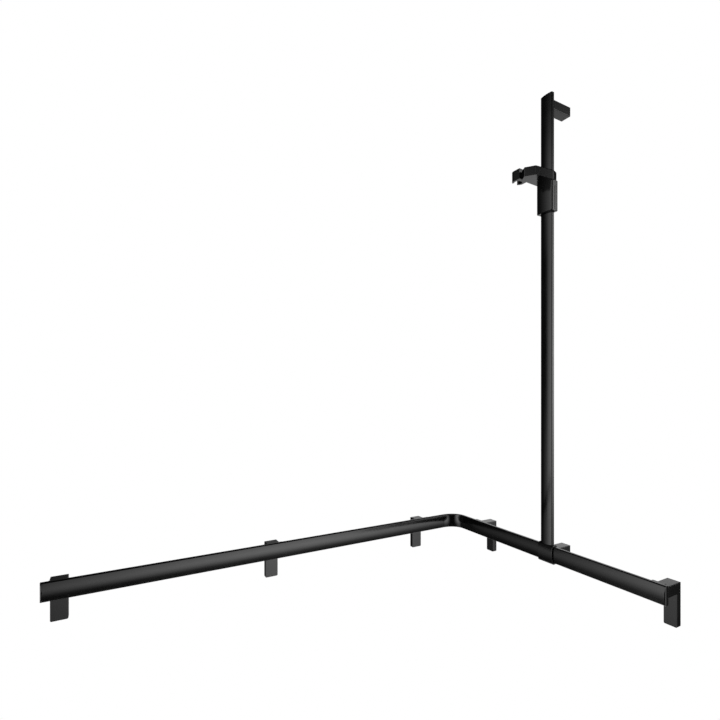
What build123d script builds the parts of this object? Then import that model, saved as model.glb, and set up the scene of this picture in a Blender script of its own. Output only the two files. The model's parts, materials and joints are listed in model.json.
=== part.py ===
"""Corner shower rail with an upright bar and a sliding hand-shower holder.

The two walls are the planes x = 0 (right wall) and y = 0 (left wall), the rail stands in front of
both, and z = 0 is the middle of the rail's height. All sizes are millimetres.
"""
import os
from math import sqrt

from build123d import *

# Flat tube shared by the rail and the upright bar
rail_height = 41.5
rail_depth = 12.0
rail_crown = 2.5
rail_edge_round = 3.0
rail_wall = 2.0

# Rail layout, measured from the corner where the walls meet
left_reach = 1120.0
right_reach = 840.0
wall_gap = 64.0
bend_radius = 40.0

# End caps of the tubes
cap_thickness = 5.0
cap_plug_length = 10.0
cap_edge_round = 0.5
cap_front_round = 4.0
plug_clearance = 0.15

# Wall brackets: distance of each one's middle from the wall corner
rail_overhang = 12.0
left_middle_place = 640.0
corner_bracket_place = 184.0
bracket_width = 32.0
arm_height = 24.0
arm_drop = 2.0
arm_edge_round = 1.0
saddle_thickness = 10.0
flange_thickness = 4.0
flange_width = 26.0
flange_end_clearance = 2.0
wall_hole_radius = 2.6
wall_hole_spacing = 34.0

# Covers over the bracket flanges
cover_drop = 72.0
cover_depth = 14.0
cover_wall = 2.0
cover_corner_round = 3.0
cover_edge_round = 0.8

# Screws between the brackets and the tubes, and their threaded inserts
screw_radius = 3.0
screw_head_radius = 5.0
screw_head_height = 6.0
screw_socket_radius = 2.5
screw_socket_depth = 3.0
screw_grip = 20.0
screw_reach = 7.0
screw_clearance = 0.2
thread_clearance = 0.05
access_radius = 6.0
insert_radius = 4.5
insert_length = 8.5
insert_collar_radius = 6.0
insert_collar_length = 2.0

# Wall anchors inside the two plain supports of the bar
anchor_clearance = 0.1
anchor_length = 16.0
anchor_hole_radius = 2.6
anchor_sink_radius = 5.0

# Grub screws
grub_radius = 2.5
grub_hex_radius = 1.3
grub_hex_depth = 1.5

# Upright bar, its connector on the rail and its upper support
bar_place = 496.0
bar_top = 1195.0
connector_length = 52.0
connector_wall = 4.0
connector_clearance = 0.1
connector_edge_round = 1.0
foot_top = 70.0
spigot_length = 36.0
spigot_grub_height = 18.0
support_drop = 28.0

# Slider: sleeve round the bar
sleeve_bottom = 886.0
sleeve_length = 102.0
sleeve_half_width = 28.0
sleeve_front = 8.0
sleeve_crown = 2.0
sleeve_back_wall = 4.2
sleeve_front_round = 5.5
sleeve_back_round = 3.5
slider_edge_round = 2.0
liner_gap = 0.3
liner_wall = 1.0
liner_inset = 1.5

# Slider: arm at the top of the sleeve
holder_arm_height = 24.0
arm_near_side = 23.5
arm_near_reach = 56.0
arm_tip_shift = 2.5
arm_tip_reach = 72.0
arm_far_side = 25.0
arm_far_bend = 48.0
arm_far_reach = 61.0
arm_corner_round = 2.5
arm_flare = 2.5
arm_taper = 5.0
arm_shoulder_round = 12.0

# Cradle for the hand shower
cradle_reach = 51.0
cradle_rise = 4.5
cradle_height = 26.5
cradle_stem = 22.0
cradle_radius = 16.5
cradle_top_bore_radius = 11.9
cradle_bottom_bore_radius = 10.4
cradle_slot_width = 16.0
cradle_edge_round = 1.2
pivot_rise = 2.0
pivot_boss_radius = 9.0
pivot_boss_depth = 12.0
pivot_boss_proud = 0.6
pin_radius = 3.0
pin_clearance = 0.05
pin_depth = 10.0
pin_web = 2.7
pin_head_radius = 4.5
pin_head_height = 2.2
pin_head_clearance = 0.2
washer_thickness = 0.8
washer_hole_clearance = 0.2

# Release lever on the slider's near side
lever_back_offset = 8.5
lever_width = 7.0
lever_inset = 3.5
lever_length = 59.5
lever_pin_place = 36.5
lever_proud = 0.8
lever_thickness = 2.6
lever_clearance = 0.4
lever_edge_round = 0.8
lever_room = 1.6
lug_radius = 1.9
lever_pin_radius = 0.8
lever_pin_hold = 2.0
shoe_width = 4.0
shoe_inset = 3.0
shoe_height = 12.0
spring_inset = 6.5
spring_span = 16.0
spring_rise = 1.4
spring_strip = 0.3
spring_foot = 1.5
spring_width = 4.0

# Places that follow from the sizes above
rail_front = wall_gap + rail_depth
bend_reach = rail_front + bend_radius
arm_upper = arm_height / 2 - arm_drop
arm_lower = arm_upper - arm_height
arm_middle = (arm_upper + arm_lower) / 2
cover_lower = arm_lower - cover_drop
flange_lower = cover_lower + cover_wall + flange_end_clearance
flange_middle = (arm_lower + flange_lower) / 2
saddle_height = rail_height - 2 * rail_edge_round
anchor_radius = access_radius - anchor_clearance
end_bracket_inset = rail_overhang + bracket_width / 2
connector_grow = connector_wall + connector_clearance
connector_back = wall_gap - connector_grow
connector_upper = rail_height / 2 + connector_grow
support_height = bar_top - support_drop
liner_grow = liner_gap + liner_wall
sleeve_back = rail_depth + liner_grow + sleeve_back_wall
arm_top = sleeve_bottom + sleeve_length
arm_bottom = arm_top - holder_arm_height
pivot_height = (arm_bottom + arm_top) / 2 + pivot_rise
cradle_bottom = pivot_height + cradle_rise - cradle_height / 2
cradle_top = cradle_bottom + cradle_height
arm_shoulder = sleeve_half_width + arm_flare
arm_tail = sleeve_half_width - arm_taper
pivot_face = arm_far_side + pivot_boss_proud
cradle_back = pivot_face + washer_thickness
cradle_side = cradle_back + cradle_stem
lever_outer = sleeve_half_width + lever_proud
lever_inner = lever_outer - lever_thickness
pocket_floor = lever_inner - lever_room
lever_bottom = sleeve_bottom + lever_inset
lever_top = lever_bottom + lever_length
lever_middle = (lever_top + lever_bottom) / 2
lever_pivot_height = lever_bottom + lever_pin_place
shoe_top = lever_top - shoe_inset
shoe_middle = shoe_top - shoe_height / 2
bar_y = -bar_place


def left_wall(place):
    """Wall plane behind the left arm: x along the rail, y up, z out from the wall."""
    return Plane(origin=(-place, 0, 0), x_dir=(1, 0, 0), z_dir=(0, -1, 0))


def right_wall(place, height=0.0):
    """Wall plane behind the right arm: x along the rail, y up, z out from the wall."""
    return Plane(origin=(0, -place, height), x_dir=(0, -1, 0), z_dir=(-1, 0, 0))


def left_section(reach):
    """Section plane of the left arm, looking towards the corner: y out from the wall."""
    return Plane(origin=(-reach, -wall_gap, 0), x_dir=(0, 0, 1), z_dir=(1, 0, 0))


def right_section(reach):
    """Section plane of the right arm, looking towards the corner: y out from the wall."""
    return Plane(origin=(-wall_gap, -reach, 0), x_dir=(0, 0, -1), z_dir=(0, 1, 0))


def bar_section(height):
    """Level section plane of the bar: x along the wall, y out from the wall."""
    return Plane(origin=(-wall_gap, bar_y, height), x_dir=(0, 1, 0), z_dir=(0, 0, 1))


def slider_level(height):
    """Level plane of the slider: x along the wall, y out from the bar's front."""
    return Plane(origin=(-rail_front, bar_y, height), x_dir=(0, 1, 0), z_dir=(0, 0, 1))


def slider_side(offset):
    """Upright plane facing the slider's near side: x towards the wall, y up."""
    return Plane(origin=(-rail_front, bar_y + offset, 0), x_dir=(1, 0, 0), z_dir=(0, -1, 0))


def flat_section(plane, grow=0.0, hollow=0.0):
    """Flat tube section with a crowned front, grown evenly and hollowed by a wall if asked."""
    half = rail_height / 2
    shoulder = rail_depth - rail_crown
    with BuildSketch(plane) as section:
        with BuildLine():
            Polyline((-half, shoulder), (-half, 0), (half, 0), (half, shoulder))
            ThreePointArc((half, shoulder), (0, rail_depth), (-half, shoulder))
        make_face()
        fillet(section.vertices(), rail_edge_round)
        if grow:
            offset(amount=grow)
        if hollow:
            offset(amount=-hollow, mode=Mode.SUBTRACT)
    return section.sketch


def disc(plane, radius):
    """Round face on a plane's origin."""
    with BuildSketch(plane) as circle:
        Circle(radius)
    return circle.sketch


def raised(wall, height):
    """The same wall plane, moved up along the wall."""
    return Plane(origin=wall.from_local_coords((0, height, 0)), x_dir=wall.x_dir, z_dir=wall.z_dir)


def save(piece, name):
    """Label a finished piece and write it to its own file."""
    piece.label = name
    export_step(piece, f"parts/{name}.step")


os.makedirs("parts", exist_ok=True)

bracket_walls = {
    "left_end": left_wall(left_reach - end_bracket_inset),
    "left_middle": left_wall(left_middle_place),
    "left_corner": left_wall(corner_bracket_place),
    "right_corner": right_wall(corner_bracket_place),
    "right_end": right_wall(right_reach - end_bracket_inset),
}

# Wall planes at the height of each screw axis
rail_screw_planes = [raised(wall, arm_middle) for wall in bracket_walls.values()]
lower_support_plane = right_wall(bar_place, arm_middle)
upper_support_plane = right_wall(bar_place, support_height)
insert_planes = rail_screw_planes + [lower_support_plane]

# Corner rail
with BuildPart() as corner_rail:
    left_tube_end = left_reach - cap_thickness
    right_tube_end = right_reach - cap_thickness
    extrude(flat_section(left_section(left_tube_end), hollow=rail_wall), amount=left_tube_end - bend_reach)
    extrude(flat_section(right_section(right_tube_end), hollow=rail_wall), amount=right_tube_end - bend_reach)
    bend_axis = Axis((-bend_reach, -bend_reach, 0), (0, 0, 1))
    revolve(flat_section(left_section(bend_reach), hollow=rail_wall), axis=bend_axis, revolution_arc=-90)
    for plane in insert_planes:
        extrude(disc(plane.offset(wall_gap), insert_radius), amount=rail_wall, mode=Mode.SUBTRACT)
save(corner_rail.part, "corner_rail")


def tube_cap(plane, front_round=0.0):
    """End cap seated on a tube's end: a flange, rounded towards the front if asked, and a plug in the tube."""
    with BuildPart() as cap:
        extrude(flat_section(plane), amount=-cap_thickness)
        outer_face = cap.faces().sort_by(Axis(plane.origin, plane.z_dir))[0]
        fillet(outer_face.edges(), cap_edge_round)
        extrude(flat_section(plane, grow=-rail_wall - plug_clearance), amount=cap_plug_length)
        if front_round:
            extrude(corner_waste(plane, front_round), amount=rail_height / 2, both=True, mode=Mode.SUBTRACT)
    return cap.part


def corner_waste(plane, radius):
    """What a round on a cap's front corner takes away, seen along the cap's height."""
    arc_start = (rail_depth, radius - cap_thickness)
    arc_middle = (rail_depth - radius * (1 - sqrt(0.5)), radius * (1 - sqrt(0.5)) - cap_thickness)
    arc_end = (rail_depth - radius, -cap_thickness)
    with BuildSketch(Plane(origin=plane.origin, x_dir=plane.y_dir, z_dir=plane.x_dir)) as waste:
        with BuildLine():
            ThreePointArc(arc_start, arc_middle, arc_end)
            Polyline(arc_end, (arc_end[0], -2 * cap_thickness), (2 * rail_depth, -2 * cap_thickness),
                     (2 * rail_depth, arc_start[1]), arc_start)
        make_face()
    return waste.sketch


save(tube_cap(left_section(left_tube_end), cap_front_round), "left_end_cap")
save(tube_cap(right_section(right_tube_end), cap_front_round), "right_end_cap")


def wall_bracket(wall):
    """Bracket arm with its saddle behind the rail and its flange on the wall."""
    screw_plane = raised(wall, arm_middle)
    with BuildPart() as bracket:
        with BuildSketch(screw_plane) as arm_outline:
            Rectangle(bracket_width, arm_height)
            fillet(arm_outline.vertices(), arm_edge_round)
        extrude(amount=wall_gap)
        with BuildSketch(wall.offset(wall_gap - saddle_thickness)) as saddle_outline:
            Rectangle(bracket_width, saddle_height)
            fillet(saddle_outline.vertices(), arm_edge_round)
        extrude(amount=saddle_thickness)
        with BuildSketch(raised(wall, (arm_middle + flange_lower) / 2)):
            Rectangle(flange_width, arm_middle - flange_lower)
        extrude(amount=flange_thickness)
        with BuildSketch(raised(wall, flange_middle)):
            with GridLocations(0, wall_hole_spacing, 1, 2):
                Circle(wall_hole_radius)
        extrude(amount=flange_thickness, mode=Mode.SUBTRACT)
        extrude(disc(screw_plane, access_radius), amount=wall_gap - screw_grip, mode=Mode.SUBTRACT)
        extrude(disc(screw_plane, screw_radius + screw_clearance), amount=wall_gap, mode=Mode.SUBTRACT)
    return bracket.part


def flange_cover(wall):
    """Hollow cover over a bracket's flange, open towards the wall and under the arm."""
    with BuildPart() as cover:
        with BuildSketch(raised(wall, (arm_lower + cover_lower) / 2)) as cover_outline:
            Rectangle(bracket_width, cover_drop)
            fillet(cover_outline.vertices().group_by(Axis.Y)[0], cover_corner_round)
        extrude(amount=cover_depth)
        front_face = cover.faces().sort_by(Axis(wall.origin, wall.z_dir))[-1]
        fillet(front_face.edges().sort_by(Axis.Z)[:-1], cover_edge_round)
        with BuildSketch(raised(wall, (arm_lower + cover_lower + cover_wall) / 2)) as hollow_outline:
            Rectangle(bracket_width - 2 * cover_wall, cover_drop - cover_wall)
            fillet(hollow_outline.vertices().group_by(Axis.Y)[0], cover_corner_round - cover_wall)
        extrude(amount=cover_depth - cover_wall, mode=Mode.SUBTRACT)
    return cover.part


for place_name, wall in bracket_walls.items():
    save(wall_bracket(wall), f"{place_name}_bracket")
    save(flange_cover(wall), f"{place_name}_cover")


def bar_support(plane, length):
    """Plain block between the wall and the bar, bored for its anchor, screw and grub screw."""
    with BuildPart() as support:
        with BuildSketch(plane) as support_outline:
            Rectangle(bracket_width, arm_height)
            fillet(support_outline.vertices(), arm_edge_round)
        extrude(amount=length)
        extrude(disc(plane, access_radius), amount=length - screw_grip, mode=Mode.SUBTRACT)
        extrude(disc(plane, screw_radius + screw_clearance), amount=length, mode=Mode.SUBTRACT)
        grub_plane = anchor_grub_plane(plane)
        extrude(disc(grub_plane, grub_radius), amount=arm_height / 2, mode=Mode.SUBTRACT)
    return support.part


def anchor_grub_plane(plane):
    """Plane under a support, facing up, where its grub screw goes in."""
    entry = plane.from_local_coords((0, -arm_height / 2, anchor_length / 2))
    return Plane(origin=entry, z_dir=(0, 0, 1))


def wall_anchor(plane):
    """Turned bush on the wall inside a support, with a sunk hole for the wall screw."""
    with BuildPart() as anchor:
        extrude(disc(plane, anchor_radius), amount=anchor_length)
        with Locations(plane.offset(anchor_length)):
            CounterSinkHole(anchor_hole_radius, anchor_sink_radius, depth=anchor_length)
    return anchor.part


save(bar_support(lower_support_plane, connector_back), "lower_bar_support")
save(bar_support(upper_support_plane, wall_gap), "upper_bar_support")
save(wall_anchor(lower_support_plane), "lower_wall_anchor")
save(wall_anchor(upper_support_plane), "upper_wall_anchor")

# Screws from the brackets and supports into the tubes: where each head seats, out from the wall
seat_depth = wall_gap - screw_grip
screw_seats = [plane.offset(seat_depth) for plane in rail_screw_planes]
screw_seats += [lower_support_plane.offset(connector_back - screw_grip)]
screw_seats += [upper_support_plane.offset(seat_depth)]
screw_lengths = [screw_grip + screw_reach] * len(rail_screw_planes)
screw_lengths += [screw_grip + connector_grow + screw_reach, screw_grip + screw_reach]
with BuildPart() as tube_screws:
    for seat, length in zip(screw_seats, screw_lengths):
        extrude(disc(seat, screw_radius), amount=length)
        extrude(disc(seat, screw_head_radius), amount=-screw_head_height)
        with BuildSketch(seat.offset(-screw_head_height)):
            RegularPolygon(screw_socket_radius, 6)
        extrude(amount=screw_socket_depth, mode=Mode.SUBTRACT)
save(tube_screws.part, "tube_screws")

# Threaded inserts in the back walls of the rail and the bar
with BuildPart() as tube_inserts:
    for plane in insert_planes + [upper_support_plane]:
        mouth = plane.offset(wall_gap)
        extrude(disc(mouth, insert_radius), amount=insert_length)
        extrude(disc(mouth.offset(rail_wall), insert_collar_radius), amount=insert_collar_length)
        extrude(disc(mouth, screw_radius + thread_clearance), amount=insert_length, mode=Mode.SUBTRACT)
save(tube_inserts.part, "tube_inserts")

# Rail connector: sleeve round the rail, foot of the bar and the spigot inside it
with BuildPart() as rail_connector:
    sleeve_start = right_section(bar_place + connector_length / 2)
    extrude(flat_section(sleeve_start, grow=connector_grow), amount=connector_length)
    end_faces = rail_connector.faces().filter_by(Axis.Y).sort_by(Axis.Y)
    fillet(end_faces[0].edges() + end_faces[-1].edges(), connector_edge_round)
    foot_start = connector_upper - connector_wall / 2
    extrude(flat_section(bar_section(foot_start)), amount=foot_top - foot_start)
    extrude(flat_section(bar_section(foot_top), grow=-rail_wall - plug_clearance), amount=spigot_length)
    extrude(flat_section(sleeve_start, grow=connector_clearance), amount=connector_length, mode=Mode.SUBTRACT)
    screw_hole = disc(lower_support_plane.offset(connector_back), screw_radius + screw_clearance)
    extrude(screw_hole, amount=connector_grow, mode=Mode.SUBTRACT)
    sleeve_grub_plane = Plane(origin=(-wall_gap - rail_depth / 2, bar_y, -connector_upper), z_dir=(0, 0, 1))
    extrude(disc(sleeve_grub_plane, grub_radius), amount=connector_grow, mode=Mode.SUBTRACT)
    spigot_grub_plane = right_wall(bar_place, foot_top + spigot_grub_height).offset(wall_gap)
    extrude(disc(spigot_grub_plane, grub_radius), amount=rail_depth / 2, mode=Mode.SUBTRACT)
save(rail_connector.part, "rail_connector")

# Upright bar
bar_tube_top = bar_top - cap_thickness
with BuildPart() as upright_bar:
    extrude(flat_section(bar_section(foot_top), hollow=rail_wall), amount=bar_tube_top - foot_top)
    extrude(disc(spigot_grub_plane, grub_radius), amount=rail_wall, mode=Mode.SUBTRACT)
    insert_hole = disc(upper_support_plane.offset(wall_gap), insert_radius)
    extrude(insert_hole, amount=rail_wall, mode=Mode.SUBTRACT)
save(upright_bar.part, "upright_bar")

bar_cap_plane = Plane(origin=(-wall_gap, bar_y, bar_tube_top), x_dir=(0, -1, 0), z_dir=(0, 0, -1))
save(tube_cap(bar_cap_plane), "bar_top_cap")

# Grub screws: one under each support, one under the connector and one behind the bar's foot
support_grub_length = arm_height / 2 - anchor_radius
grub_places = [
    (anchor_grub_plane(lower_support_plane), support_grub_length),
    (anchor_grub_plane(upper_support_plane), support_grub_length),
    (sleeve_grub_plane, connector_grow),
    (spigot_grub_plane, rail_depth / 2),
]
with BuildPart() as grub_screws:
    for plane, length in grub_places:
        extrude(disc(plane, grub_radius), amount=length)
        with BuildSketch(plane):
            RegularPolygon(grub_hex_radius, 6)
        extrude(amount=grub_hex_depth, mode=Mode.SUBTRACT)
save(grub_screws.part, "grub_screws")

# Slider body: sleeve round the bar with the arm at its top
lever_pivot_plane = Plane(
    origin=(-rail_front + lever_back_offset, bar_y - lever_inner, lever_pivot_height),
    x_dir=(0, 1, 0),
    z_dir=(1, 0, 0),
)
pivot_plane = Plane(
    origin=(-rail_front - cradle_reach, bar_y + pivot_face, pivot_height),
    x_dir=(1, 0, 0),
    z_dir=(0, 1, 0),
)
with BuildPart() as slider_body:
    with BuildSketch(slider_level(sleeve_bottom)) as sleeve_outline:
        sleeve_shoulder = sleeve_front - sleeve_crown
        with BuildLine():
            Polyline((-sleeve_half_width, sleeve_shoulder), (-sleeve_half_width, -sleeve_back),
                     (sleeve_half_width, -sleeve_back), (sleeve_half_width, sleeve_shoulder))
            ThreePointArc((sleeve_half_width, sleeve_shoulder), (0, sleeve_front),
                          (-sleeve_half_width, sleeve_shoulder))
        make_face()
        fillet(sleeve_outline.vertices().group_by(Axis.Y)[-1], sleeve_front_round)
        fillet(sleeve_outline.vertices().group_by(Axis.Y)[0], sleeve_back_round)
    extrude(amount=sleeve_length - holder_arm_height)
    with BuildSketch(slider_level(arm_bottom)) as arm_plan:
        with BuildLine():
            Polyline((-arm_near_side, arm_near_reach), (-arm_shoulder, 0), (-arm_tail, -sleeve_back),
                     (arm_tail, -sleeve_back), (sleeve_half_width, 0), (arm_far_side, arm_far_bend),
                     (arm_far_side, arm_far_reach), (arm_tip_shift, arm_tip_reach), close=True)
        make_face()
        fillet(arm_plan.vertices().sort_by(Axis.Y)[-3:], arm_corner_round)
        fillet(arm_plan.vertices().group_by(Axis.Y)[1], arm_shoulder_round)
        fillet(arm_plan.vertices().group_by(Axis.Y)[0], sleeve_back_round)
    extrude(amount=holder_arm_height)
    level_faces = slider_body.faces().filter_by(Axis.Z).sort_by(Axis.Z)
    fillet(level_faces[0].edges() + level_faces[-1].edges(), slider_edge_round)
    extrude(disc(pivot_plane, pivot_boss_radius), amount=-pivot_boss_depth)
    bar_opening = flat_section(bar_section(sleeve_bottom), grow=liner_grow)
    extrude(bar_opening, amount=sleeve_length, mode=Mode.SUBTRACT)
    extrude(disc(pivot_plane, pin_radius + thread_clearance), amount=-pin_depth, mode=Mode.SUBTRACT)
    with BuildSketch(slider_side(-pocket_floor)):
        with Locations((lever_back_offset, lever_middle)):
            Rectangle(lever_width + 2 * lever_clearance, lever_length + 2 * lever_clearance)
    extrude(amount=sleeve_half_width - pocket_floor, mode=Mode.SUBTRACT)
    lug_room = disc(lever_pivot_plane, lug_radius + lever_clearance)
    extrude(lug_room, amount=lever_width / 2 + lever_clearance, both=True, mode=Mode.SUBTRACT)
    pin_hole = disc(lever_pivot_plane, lever_pin_radius + thread_clearance)
    extrude(pin_hole, amount=lever_width / 2 + lever_clearance + lever_pin_hold, both=True, mode=Mode.SUBTRACT)
    with BuildSketch(slider_side(-pocket_floor)):
        with Locations((lever_back_offset, shoe_middle)):
            Rectangle(shoe_width + 2 * lever_clearance, shoe_height + 2 * lever_clearance)
    extrude(amount=rail_height / 2 - pocket_floor, mode=Mode.SUBTRACT)
save(slider_body.part, "slider_body")

# Liner: plastic bush between the slider and the bar
with BuildPart() as slider_liner:
    liner_length = sleeve_length - 2 * liner_inset
    liner_start = bar_section(sleeve_bottom + liner_inset)
    extrude(flat_section(liner_start, grow=liner_grow, hollow=liner_wall), amount=liner_length)
    with BuildSketch(slider_side(-sleeve_half_width)):
        with Locations((lever_back_offset, shoe_middle)):
            Rectangle(shoe_width + 2 * lever_clearance, shoe_height + 2 * lever_clearance)
    extrude(amount=-sleeve_half_width, mode=Mode.SUBTRACT)
save(slider_liner.part, "slider_liner")

# Cradle: open fork with a tapered seat for the hand shower
seat_centre = (cradle_side, cradle_reach)
with BuildPart() as cradle:
    rear_side = cradle_reach - cradle_radius
    front_side = cradle_reach + cradle_radius
    with BuildSketch(slider_level(cradle_bottom)):
        with BuildLine():
            Polyline((cradle_side, rear_side), (cradle_back, rear_side),
                     (cradle_back, front_side), (cradle_side, front_side))
            ThreePointArc((cradle_side, front_side), (cradle_side + cradle_radius, cradle_reach),
                          (cradle_side, rear_side))
        make_face()
    extrude(amount=cradle_height)
    level_faces = cradle.faces().filter_by(Axis.Z)
    fillet(level_faces.edges(), cradle_edge_round)
    with BuildSketch(slider_level(cradle_bottom)):
        with Locations(seat_centre):
            Circle(cradle_bottom_bore_radius)
    with BuildSketch(slider_level(cradle_top)):
        with Locations(seat_centre):
            Circle(cradle_top_bore_radius)
    loft(mode=Mode.SUBTRACT)
    with BuildSketch(slider_level(cradle_bottom)):
        with Locations((cradle_side + cradle_radius / 2, cradle_reach)):
            Rectangle(cradle_radius, cradle_slot_width)
    extrude(amount=cradle_height, mode=Mode.SUBTRACT)
    cradle_face = pivot_plane.offset(washer_thickness)
    extrude(disc(cradle_face, pin_radius + pin_clearance), amount=cradle_radius, mode=Mode.SUBTRACT)
    head_room = disc(cradle_face.offset(pin_web), pin_head_radius + pin_head_clearance)
    extrude(head_room, amount=cradle_radius / 2, mode=Mode.SUBTRACT)
save(cradle.part, "cradle")

# Cradle pin: shoulder screw through the cradle's back into the arm
with BuildPart() as cradle_pin:
    extrude(disc(pivot_plane.offset(-pin_depth), pin_radius), amount=pin_depth + washer_thickness + pin_web)
    head_plane = pivot_plane.offset(washer_thickness + pin_web)
    extrude(disc(head_plane, pin_head_radius), amount=pin_head_height)
    with BuildSketch(head_plane.offset(pin_head_height)):
        RegularPolygon(screw_socket_radius, 6)
    extrude(amount=-pin_head_height / 2, mode=Mode.SUBTRACT)
save(cradle_pin.part, "cradle_pin")

# Friction washer between the arm and the cradle
with BuildPart() as cradle_washer:
    extrude(disc(pivot_plane, pivot_boss_radius), amount=washer_thickness)
    washer_hole = disc(pivot_plane, pin_radius + washer_hole_clearance)
    extrude(washer_hole, amount=washer_thickness, mode=Mode.SUBTRACT)
save(cradle_washer.part, "cradle_washer")

# Release lever: plate in the slider's side with a lug round its pin
with BuildPart() as release_lever:
    with BuildSketch(slider_side(-lever_inner)):
        with Locations((lever_back_offset, lever_middle)):
            Rectangle(lever_width, lever_length)
    extrude(amount=lever_thickness)
    outer_face = release_lever.faces().sort_by(Axis.Y)[0]
    fillet(outer_face.edges(), lever_edge_round)
    extrude(disc(lever_pivot_plane, lug_radius), amount=lever_width / 2, both=True)
    pin_bore = disc(lever_pivot_plane, lever_pin_radius + pin_clearance)
    extrude(pin_bore, amount=lever_width / 2, both=True, mode=Mode.SUBTRACT)
save(release_lever.part, "release_lever")

# Lever pin
with BuildPart() as lever_pin:
    pin_half_length = lever_width / 2 + lever_clearance + lever_pin_hold
    extrude(disc(lever_pivot_plane, lever_pin_radius), amount=pin_half_length, both=True)
save(lever_pin.part, "lever_pin")

# Brake shoe on the lever's upper end, next to the edge of the bar
with BuildPart() as brake_shoe:
    with BuildSketch(slider_side(-lever_inner)):
        with Locations((lever_back_offset, shoe_middle)):
            Rectangle(shoe_width, shoe_height)
    extrude(amount=rail_height / 2 + liner_gap - lever_inner)
save(brake_shoe.part, "brake_shoe")

# Leaf spring between the pocket's floor and the lever's lower end
with BuildPart() as lever_spring:
    spring_plane = Plane(
        origin=(-rail_front + lever_back_offset, bar_y - pocket_floor, lever_bottom + spring_inset),
        x_dir=(0, -1, 0),
        z_dir=(-1, 0, 0),
    )
    with BuildSketch(spring_plane):
        with BuildLine():
            ThreePointArc((0, 0), (spring_rise, spring_span / 2), (0, spring_span))
            Line((0, spring_span), (0, spring_span - spring_foot))
            ThreePointArc((0, spring_span - spring_foot), (spring_rise - spring_strip, spring_span / 2),
                          (0, spring_foot))
            Line((0, spring_foot), (0, 0))
        make_face()
    extrude(amount=spring_width / 2, both=True)
save(lever_spring.part, "lever_spring")
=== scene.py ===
"""Materials, light and camera for the corner shower rail."""
import json
import math

import bpy
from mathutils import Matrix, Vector


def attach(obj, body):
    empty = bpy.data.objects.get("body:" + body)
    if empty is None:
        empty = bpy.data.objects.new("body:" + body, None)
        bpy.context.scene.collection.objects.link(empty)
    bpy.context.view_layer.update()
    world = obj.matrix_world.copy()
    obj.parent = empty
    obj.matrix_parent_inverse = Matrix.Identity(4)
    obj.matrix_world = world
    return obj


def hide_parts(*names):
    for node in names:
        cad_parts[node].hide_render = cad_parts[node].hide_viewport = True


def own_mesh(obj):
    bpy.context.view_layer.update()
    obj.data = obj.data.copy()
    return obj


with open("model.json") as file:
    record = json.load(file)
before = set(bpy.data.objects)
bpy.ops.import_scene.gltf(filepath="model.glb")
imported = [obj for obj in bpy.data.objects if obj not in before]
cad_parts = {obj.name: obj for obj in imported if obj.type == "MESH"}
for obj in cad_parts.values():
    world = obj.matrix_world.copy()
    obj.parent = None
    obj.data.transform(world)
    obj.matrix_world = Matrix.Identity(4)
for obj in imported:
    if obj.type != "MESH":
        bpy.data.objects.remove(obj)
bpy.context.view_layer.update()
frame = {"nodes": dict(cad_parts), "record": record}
nodes = frame["nodes"]

# Camera: level, a little above the rail, with its frame shifted off the optical axis
camera_place = (-1.00175, -1.43285, 0.41908)
camera_turn_deg = -35.5
focal_px = 498.7
axis_px = (465.10, 392.14)
image_px = 720
sensor_mm = 36.0

# Black finishes: size of the slow changes of gloss, share of the fine ones, and strength of the grain
slow_scale = 14.0
fine_gloss_share = 0.02
grain_strength = 0.35

# Bare metal: size, strength and depth of the drawn-out marks
mark_scale = 900.0
mark_strength = 0.2
mark_depth = 0.00005

# Floor below the rail: a pale round that turns into the white ground
floor_height = -1.90
floor_radius = 2.40
floor_middle = (-0.40, -0.40)
floor_sides = 128
floor_dark = (0.78, 0.78, 0.78)
floor_light = (0.82, 0.82, 0.82)
floor_cloud_scale = 3.0
floor_roughness = 0.9
floor_specular = 0.1
floor_paleness = 0.6
ground_start = 1.20
ground_full = 2.30

# Room: its dim light, and the white that the camera sees behind the rail
white = (1.0, 1.0, 1.0, 1.0)
room_strength = 0.02
backdrop_strength = 1.0

# Bright end of the studio behind the rail: its direction, how it fades with the angle's cosine,
# and the sines of the rise where its upper edge starts to fade and is gone
bright_end = (0.839, 0.545, 0.0)
bright_steps = ((0.0, 0.0), (0.45, 0.03), (0.72, 0.20), (0.80, 0.28), (0.93, 1.0))
bright_top = (0.345, 0.40)

# Soft boxes: far from the part, brightest in their middle. Each has its heading and rise,
# its half width and half height, all in degrees as seen from the part, and its radiance
box_aim = (-0.30, -0.30, 0.20)
box_distance = 10.0
soft_boxes = {
    "front_box": (285.5, -9.0, 20.5, 14.5, 2.45),
    "right_box": (311.5, 10.5, 6.2, 13.5, 4.9),
    "near_box": (316.0, -1.0, 5.0, 9.0, 1.5),
    "left_box": (174.0, 1.5, 21.0, 20.0, 2.8),
    "low_box": (151.0, -14.0, 17.0, 10.0, 0.62),
    "deep_box": (160.0, -30.0, 15.0, 8.0, 0.4),
    "upper_box": (160.0, 27.0, 18.0, 5.0, 0.68),
    "back_box": (232.0, 24.0, 12.0, 5.0, 2.0),
}


def link(tree, source, target):
    """Join two sockets of a node tree."""
    tree.links.new(source, target)


def add(tree, kind, **values):
    """New node of a kind, with some of its properties set."""
    node = tree.nodes.new(kind)
    for key, value in values.items():
        setattr(node, key, value)
    return node


def math_node(tree, operation, first, second, clamp=False):
    """Math node on two sockets or numbers, giving its output socket."""
    node = add(tree, "ShaderNodeMath", operation=operation, use_clamp=clamp)
    for slot, value in enumerate((first, second)):
        if isinstance(value, (int, float)):
            node.inputs[slot].default_value = value
        else:
            link(tree, value, node.inputs[slot])
    return node.outputs[0]


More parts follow.
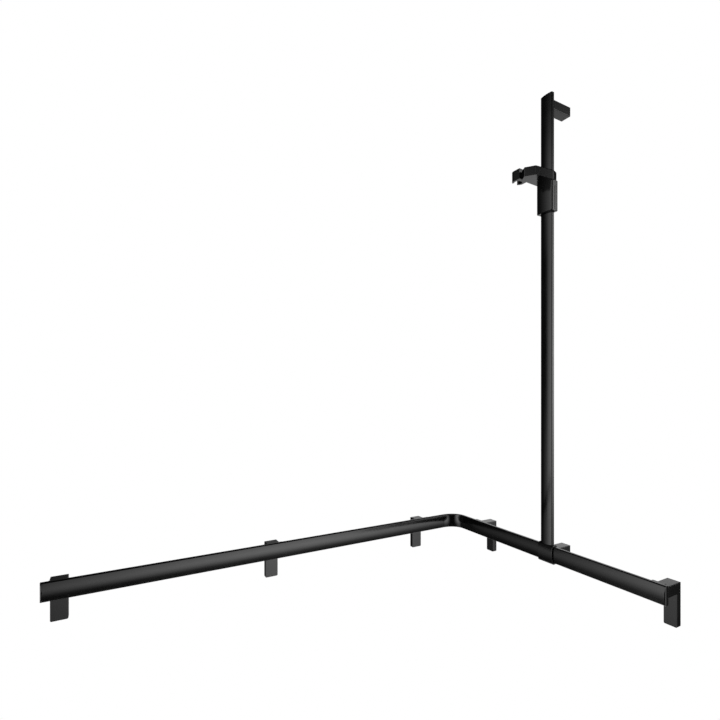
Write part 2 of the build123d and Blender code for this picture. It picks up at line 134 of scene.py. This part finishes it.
def noise(tree, coords, scale, detail, rough=0.5):
    """Noise texture on given coordinates, giving its value socket."""
    node = add(tree, "ShaderNodeTexNoise")
    link(tree, coords, node.inputs["Vector"])
    node.inputs["Scale"].default_value = scale
    node.inputs["Detail"].default_value = detail
    node.inputs["Roughness"].default_value = rough
    return node.outputs["Fac"]


def ranged(tree, value, low, high, start=0.3, end=0.7):
    """Map a value between start and end, by default a noise's middle range, onto two limits."""
    node = add(tree, "ShaderNodeMapRange")
    link(tree, value, node.inputs["Value"])
    node.inputs["From Min"].default_value = start
    node.inputs["From Max"].default_value = end
    node.inputs["To Min"].default_value = low
    node.inputs["To Max"].default_value = high
    return node.outputs["Result"]


def ramp(tree, value, dark, light, start=0.3, end=0.7):
    """Colour between two shades, by a value."""
    node = add(tree, "ShaderNodeValToRGB")
    node.color_ramp.elements[0].position = start
    node.color_ramp.elements[0].color = (*dark, 1.0)
    node.color_ramp.elements[1].position = end
    node.color_ramp.elements[1].color = (*light, 1.0)
    link(tree, value, node.inputs["Fac"])
    return node.outputs["Color"]


def bump(tree, height, strength, distance):
    """Bump from a height socket, giving its normal socket."""
    node = add(tree, "ShaderNodeBump")
    node.inputs["Strength"].default_value = strength
    node.inputs["Distance"].default_value = distance
    link(tree, height, node.inputs["Height"])
    return node.outputs["Normal"]


def blank_material(name):
    """Material with one principled shader, giving its tree, shader and object coordinates."""
    material = bpy.data.materials.new(name)
    material.use_nodes = True
    tree = material.node_tree
    shader = tree.nodes["Principled BSDF"]
    coords = add(tree, "ShaderNodeTexCoord").outputs["Object"]
    return material, tree, shader, coords


def black_finish(name, dark, light, rough, grain_scale, grain_depth, specular):
    """Black satin surface: fine grain, slow changes of gloss and a little change of shade."""
    material, tree, shader, coords = blank_material(name)
    fine = noise(tree, coords, grain_scale, 2.0, 0.55)
    slow = noise(tree, coords, slow_scale, 3.0)
    shade = math_node(tree, "MULTIPLY", math_node(tree, "ADD", fine, slow), 0.5)
    link(tree, ramp(tree, shade, dark, light), shader.inputs["Base Color"])
    slow_gloss = ranged(tree, slow, *rough)
    fine_gloss = ranged(tree, fine, -fine_gloss_share, fine_gloss_share)
    link(tree, math_node(tree, "ADD", slow_gloss, fine_gloss), shader.inputs["Roughness"])
    link(tree, bump(tree, fine, grain_strength, grain_depth), shader.inputs["Normal"])
    shader.inputs["Specular IOR Level"].default_value = specular
    return material


def metal_finish(name, dark, light, rough, stretch):
    """Bare metal with fine marks drawn out along one direction."""
    material, tree, shader, coords = blank_material(name)
    mapping = add(tree, "ShaderNodeMapping")
    mapping.inputs["Scale"].default_value = stretch
    link(tree, coords, mapping.inputs["Vector"])
    marks = noise(tree, mapping.outputs["Vector"], mark_scale, 4.0, 0.6)
    link(tree, ramp(tree, marks, dark, light), shader.inputs["Base Color"])
    link(tree, ranged(tree, marks, *rough), shader.inputs["Roughness"])
    link(tree, bump(tree, marks, mark_strength, mark_depth), shader.inputs["Normal"])
    shader.inputs["Metallic"].default_value = 1.0
    return material


# Finish of each material slot
slot_finish = {
    "black_metal": black_finish(
        "coated_metal", (0.0012, 0.0012, 0.0012), (0.0026, 0.0026, 0.0027), (0.14, 0.19),
        grain_scale=1100.0, grain_depth=0.00003, specular=0.5),
    "black_plastic": black_finish(
        "moulded_black", (0.0014, 0.0014, 0.0014), (0.0030, 0.0030, 0.0031), (0.15, 0.20),
        grain_scale=1700.0, grain_depth=0.00003, specular=0.5),
    "dark_liner": black_finish(
        "liner_plastic", (0.035, 0.035, 0.036), (0.055, 0.055, 0.056), (0.40, 0.50),
        grain_scale=700.0, grain_depth=0.00003, specular=0.5),
    "rubber": black_finish(
        "dull_rubber", (0.018, 0.018, 0.018), (0.032, 0.032, 0.032), (0.72, 0.85),
        grain_scale=1300.0, grain_depth=0.0001, specular=0.4),
    "steel": metal_finish(
        "plain_steel", (0.50, 0.50, 0.51), (0.66, 0.66, 0.67), (0.24, 0.36),
        stretch=(1.0, 1.0, 0.08)),
    "anchor_metal": metal_finish(
        "turned_aluminium", (0.62, 0.62, 0.63), (0.74, 0.74, 0.75), (0.28, 0.42),
        stretch=(1.0, 0.1, 0.1)),
}
for part in frame["record"]["subparts"]:
    mesh = nodes[part["node"]].data
    mesh.materials.clear()
    mesh.materials.append(slot_finish[part["material_slot"]])

# Lever's leaf spring: a copy with its own mesh, carried by the slider's body, in place of the hidden
# original
spring_node = nodes["lever_spring"]
leaf = bpy.data.objects.new("lever_spring_leaf", spring_node.data.copy())
bpy.context.scene.collection.objects.link(leaf)
leaf.matrix_world = spring_node.matrix_world.copy()
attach(leaf, "slider")
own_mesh(leaf)
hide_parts("lever_spring")


def seen_white(tree, direction, camera_share):
    """White share of a ray: to the camera, and from the studio's bright end in reflections and glass."""
    path = add(tree, "ShaderNodeLightPath")
    facing = add(tree, "ShaderNodeVectorMath", operation="DOT_PRODUCT")
    facing.inputs[1].default_value = bright_end
    link(tree, direction, facing.inputs[0])
    steps = add(tree, "ShaderNodeValToRGB")
    elements = steps.color_ramp.elements
    while len(elements) < len(bright_steps):
        elements.new(1.0)
    for element, (place, share) in zip(elements, bright_steps):
        element.position = place
        element.color = (share, share, share, 1.0)
    link(tree, facing.outputs["Value"], steps.inputs["Fac"])
    sides = add(tree, "ShaderNodeSeparateXYZ")
    link(tree, direction, sides.inputs["Vector"])
    below_top = ranged(tree, sides.outputs["Z"], 1.0, 0.0, *bright_top)
    bright = math_node(tree, "MULTIPLY", steps.outputs["Color"], below_top)
    glossy = path.outputs["Is Glossy Ray"]
    through_glass = path.outputs["Is Transmission Ray"]
    bent = math_node(tree, "ADD", glossy, through_glass, clamp=True)
    to_bent = math_node(tree, "MULTIPLY", bent, bright)
    to_camera = math_node(tree, "MULTIPLY", path.outputs["Is Camera Ray"], camera_share)
    return math_node(tree, "ADD", to_bent, to_camera, clamp=True)


# Floor
bpy.ops.mesh.primitive_circle_add(
    vertices=floor_sides, radius=floor_radius, fill_type="NGON", location=(*floor_middle, floor_height))
floor = bpy.context.object
floor.name = "floor"
floor_material, tree, shader, coords = blank_material("pale_floor")
shader.inputs["Roughness"].default_value = floor_roughness
shader.inputs["Specular IOR Level"].default_value = floor_specular
clouds = noise(tree, coords, floor_cloud_scale, 2.0)
link(tree, ramp(tree, clouds, floor_dark, floor_light), shader.inputs["Base Color"])
spread = add(tree, "ShaderNodeVectorMath", operation="LENGTH")
link(tree, coords, spread.inputs[0])
ground = ranged(tree, spread.outputs["Value"], floor_paleness, 1.0, ground_start, ground_full)
outward = add(tree, "ShaderNodeVectorMath", operation="NORMALIZE")
link(tree, coords, outward.inputs[0])
glow = add(tree, "ShaderNodeEmission")
glow.inputs["Strength"].default_value = backdrop_strength
blend = add(tree, "ShaderNodeMixShader")
link(tree, seen_white(tree, outward.outputs["Vector"], ground), blend.inputs["Fac"])
link(tree, shader.outputs["BSDF"], blend.inputs[1])
link(tree, glow.outputs["Emission"], blend.inputs[2])
link(tree, blend.outputs["Shader"], tree.nodes["Material Output"].inputs["Surface"])
floor.data.materials.append(floor_material)

# World: dim room with a bright end behind the rail, white to the camera
world = bpy.data.worlds.new("studio")
bpy.context.scene.world = world
world.use_nodes = True
tree = world.node_tree
room = tree.nodes["Background"]
room.inputs["Color"].default_value = white
room.inputs["Strength"].default_value = room_strength
backdrop = add(tree, "ShaderNodeBackground")
backdrop.inputs["Color"].default_value = white
backdrop.inputs["Strength"].default_value = backdrop_strength
mixed = add(tree, "ShaderNodeMixShader")
sky_direction = add(tree, "ShaderNodeTexCoord").outputs["Generated"]
link(tree, seen_white(tree, sky_direction, 1.0), mixed.inputs["Fac"])
link(tree, room.outputs["Background"], mixed.inputs[1])
link(tree, backdrop.outputs["Background"], mixed.inputs[2])
link(tree, mixed.outputs["Shader"], tree.nodes["World Output"].inputs["Surface"])


def soft_box(name, heading_deg, rise_deg, half_wide_deg, half_tall_deg, radiance):
    """Far rectangular light, seen from the part at given angles; at the half angles its glow is halved."""
    light = bpy.data.lights.new(name, "AREA")
    light.shape = "RECTANGLE"
    light.size = 4 * box_distance * math.tan(math.radians(half_wide_deg))
    light.size_y = 4 * box_distance * math.tan(math.radians(half_tall_deg))
    light.energy = 4 * light.size * light.size_y * radiance
    light.use_nodes = True
    tree = light.node_tree
    sides = add(tree, "ShaderNodeSeparateXYZ")
    link(tree, add(tree, "ShaderNodeNewGeometry").outputs["Parametric"], sides.inputs["Vector"])
    glow = 1.0
    for side in ("X", "Y"):
        off = math_node(tree, "ABSOLUTE", math_node(tree, "SUBTRACT", sides.outputs[side], 0.5), 0.0)
        fade = add(tree, "ShaderNodeMapRange", interpolation_type="SMOOTHSTEP")
        link(tree, off, fade.inputs["Value"])
        fade.inputs["From Max"].default_value = 0.5
        fade.inputs["To Min"].default_value = 1.0
        fade.inputs["To Max"].default_value = 0.0
        glow = math_node(tree, "MULTIPLY", fade.outputs["Result"], glow)
    link(tree, glow, tree.nodes["Emission"].inputs["Strength"])
    heading = math.radians(heading_deg)
    rise = math.radians(rise_deg)
    level = math.cos(rise)
    out = Vector((math.cos(heading) * level, math.sin(heading) * level, math.sin(rise)))
    lamp = bpy.data.objects.new(name, light)
    bpy.context.scene.collection.objects.link(lamp)
    lamp.location = Vector(box_aim) + box_distance * out
    lamp.rotation_mode = "QUATERNION"
    lamp.rotation_quaternion = out.to_track_quat("Z", "Y")
    lamp.visible_camera = False


for box_name, box_values in soft_boxes.items():
    soft_box(box_name, *box_values)

# Camera
camera_data = bpy.data.cameras.new("camera")
camera_data.sensor_width = sensor_mm
camera_data.lens = focal_px / image_px * sensor_mm
camera_data.shift_x = (image_px / 2 - axis_px[0]) / image_px
camera_data.shift_y = (axis_px[1] - image_px / 2) / image_px
camera = bpy.data.objects.new("camera", camera_data)
bpy.context.scene.collection.objects.link(camera)
camera.location = camera_place
camera.rotation_euler = (math.pi / 2, 0, math.radians(camera_turn_deg))
bpy.context.scene.camera = camera
bpy.context.scene.view_settings.view_transform = "Standard"
